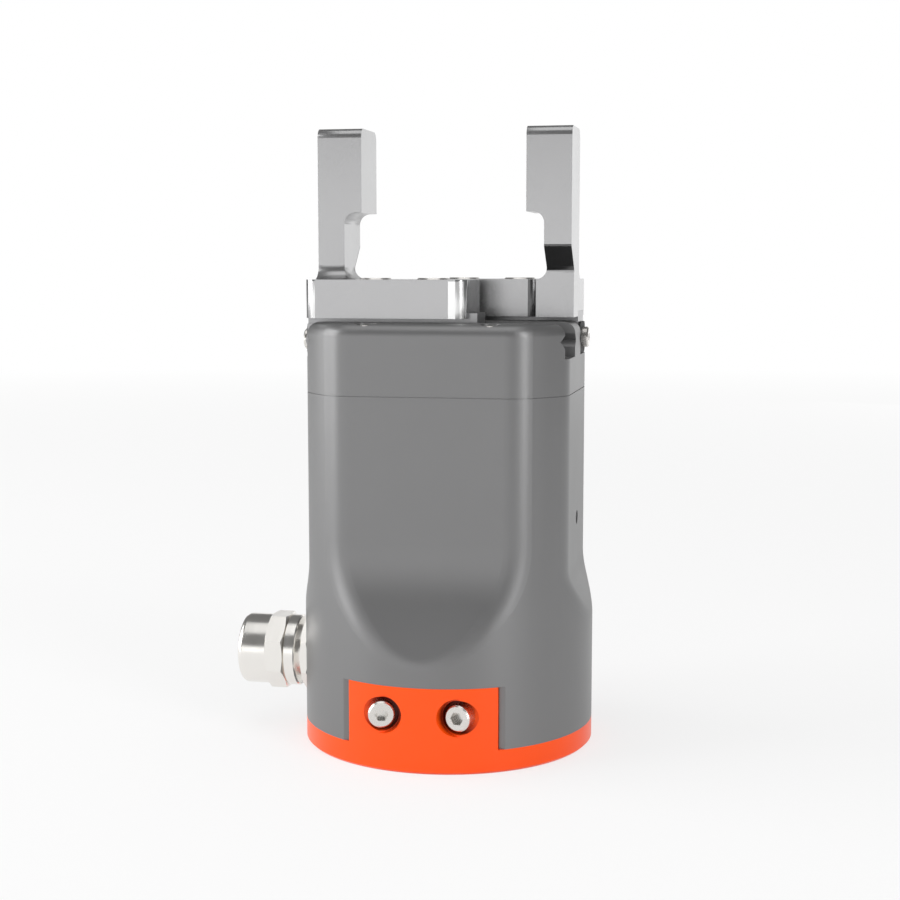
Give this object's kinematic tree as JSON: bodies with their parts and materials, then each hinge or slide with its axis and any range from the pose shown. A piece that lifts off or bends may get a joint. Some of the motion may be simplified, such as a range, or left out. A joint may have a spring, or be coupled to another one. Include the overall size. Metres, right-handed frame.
{
  "type": "electric parallel gripper",
  "caption": "Electric two-finger parallel gripper: motor, planetary stage, pinion and racks slide two jaws towards each other on V guides; round robot flange below.",
  "frame": {"origin": "centre of the flange underside, where it meets the robot wrist", "axes": "+Z from the flange to the finger tips, the jaws slide along X, front is -Y"},
  "size_m": [0.0783, 0.0632, 0.132],
  "materials": {
    "orange_anodised": "satin orange anodised aluminium",
    "grey_housing": "fine satin grey anodised aluminium",
    "bead_blasted_aluminium": "bead blasted, clear anodised",
    "hard_slider_steel": "ground and hardened",
    "nickel_plated": "nickel plated brass, polished",
    "stainless_screws": "bright stainless",
    "zinc_screws": "zinc plated",
    "black_rubber": "matt",
    "gear_steel": "hobbed, lightly oiled",
    "bearing_steel": "ground",
    "turned_aluminium": "turned",
    "circuit_board": "solder mask",
    "black_components": "moulded",
    "magnet_black": "bonded magnet",
    "laminated_steel": "stacked sheets",
    "copper_coils": "enamelled copper wire",
    "black_insulator": "moulded",
    "gold_contacts": "gold plated"
  },
  "bodies": {
    "housing": {"flange": "orange_anodised", "lower_housing": "grey_housing", "top_housing": "grey_housing", "base_plate": "turned_aluminium", "base_plate_screws": "zinc_screws", "flange_screws": "stainless_screws", "housing_screws": "stainless_screws", "control_board": "circuit_board", "board_components": "black_components", "board_screws": "zinc_screws", "encoder_board": "circuit_board", "motor_end_cap": "turned_aluminium", "motor_can": "turned_aluminium", "motor_stator": "laminated_steel", "motor_windings": "copper_coils", "motor_bearings": "bearing_steel", "ring_gear": "gear_steel", "gearbox_cover": "turned_aluminium", "output_bearings": "bearing_steel", "drive_screws": "zinc_screws", "connector_base": "nickel_plated", "connector_collar": "nickel_plated", "connector_nut": "nickel_plated", "connector_cap": "nickel_plated", "connector_insert": "black_insulator", "connector_contacts": "gold_contacts"},
    "left_jaw_slide": {"left_rack": "gear_steel", "left_rack_screws": "zinc_screws", "left_slider": "hard_slider_steel", "left_jaw": "bead_blasted_aluminium", "left_jaw_screws": "stainless_screws", "left_bumper": "black_rubber", "left_bumper_screw": "stainless_screws"},
    "right_jaw_slide": {"right_rack": "gear_steel", "right_rack_screws": "zinc_screws", "right_slider": "hard_slider_steel", "right_jaw": "bead_blasted_aluminium", "right_jaw_screws": "stainless_screws", "right_bumper": "black_rubber", "right_bumper_screw": "stainless_screws"},
    "output_carrier": {"planet_carrier": "gear_steel", "planet_pins": "gear_steel", "pinion": "gear_steel"},
    "motor_rotor_unit": {"motor_shaft": "gear_steel", "motor_rotor": "magnet_black", "sun_gear": "gear_steel", "encoder_magnet": "magnet_black"},
    "planet_1": {"planet_gear_1": "gear_steel"},
    "planet_2": {"planet_gear_2": "gear_steel"},
    "planet_3": {"planet_gear_3": "gear_steel"}
  },
  "joints": [
    {"name": "left_jaw", "type": "slide", "parent": "housing", "child": "left_jaw_slide", "axis": [1, 0, 0], "range_m": [0, 0.0176]},
    {"name": "right_jaw", "type": "slide", "parent": "housing", "child": "right_jaw_slide", "axis": [-1, 0, 0], "range_m": [0, 0.0176]},
    {"name": "carrier_spin", "type": "hinge", "parent": "housing", "child": "output_carrier", "pos_m": [0, 0, 0.0692], "axis": [0, 0, 1], "range_deg": [0, 158.06]},
    {"name": "rotor_spin", "type": "hinge", "parent": "housing", "child": "motor_rotor_unit", "pos_m": [0, 0, 0.045], "axis": [0, 0, 1], "range_deg": [0, 630.75]},
    {"name": "planet_1_spin", "type": "hinge", "parent": "output_carrier", "child": "planet_1", "pos_m": [0.0096, 0, 0.0637], "axis": [0, 0, 1], "range_deg": [-473.19, 0]},
    {"name": "planet_2_spin", "type": "hinge", "parent": "output_carrier", "child": "planet_2", "pos_m": [-0.0048, 0.00831, 0.0637], "axis": [0, 0, 1], "range_deg": [-473.19, 0]},
    {"name": "planet_3_spin", "type": "hinge", "parent": "output_carrier", "child": "planet_3", "pos_m": [-0.0048, -0.00831, 0.0637], "axis": [0, 0, 1], "range_deg": [-473.19, 0]}
  ],
  "couplings": [
    {"joint": "right_jaw", "follows": "left_jaw", "ratio": 1},
    {"joint": "carrier_spin", "follows": "left_jaw", "rad_per_m": 156.25},
    {"joint": "rotor_spin", "follows": "left_jaw", "rad_per_m": 625},
    {"joint": "planet_1_spin", "follows": "left_jaw", "rad_per_m": -468.75},
    {"joint": "planet_2_spin", "follows": "left_jaw", "rad_per_m": -468.75},
    {"joint": "planet_3_spin", "follows": "left_jaw", "rad_per_m": -468.75}
  ]
}
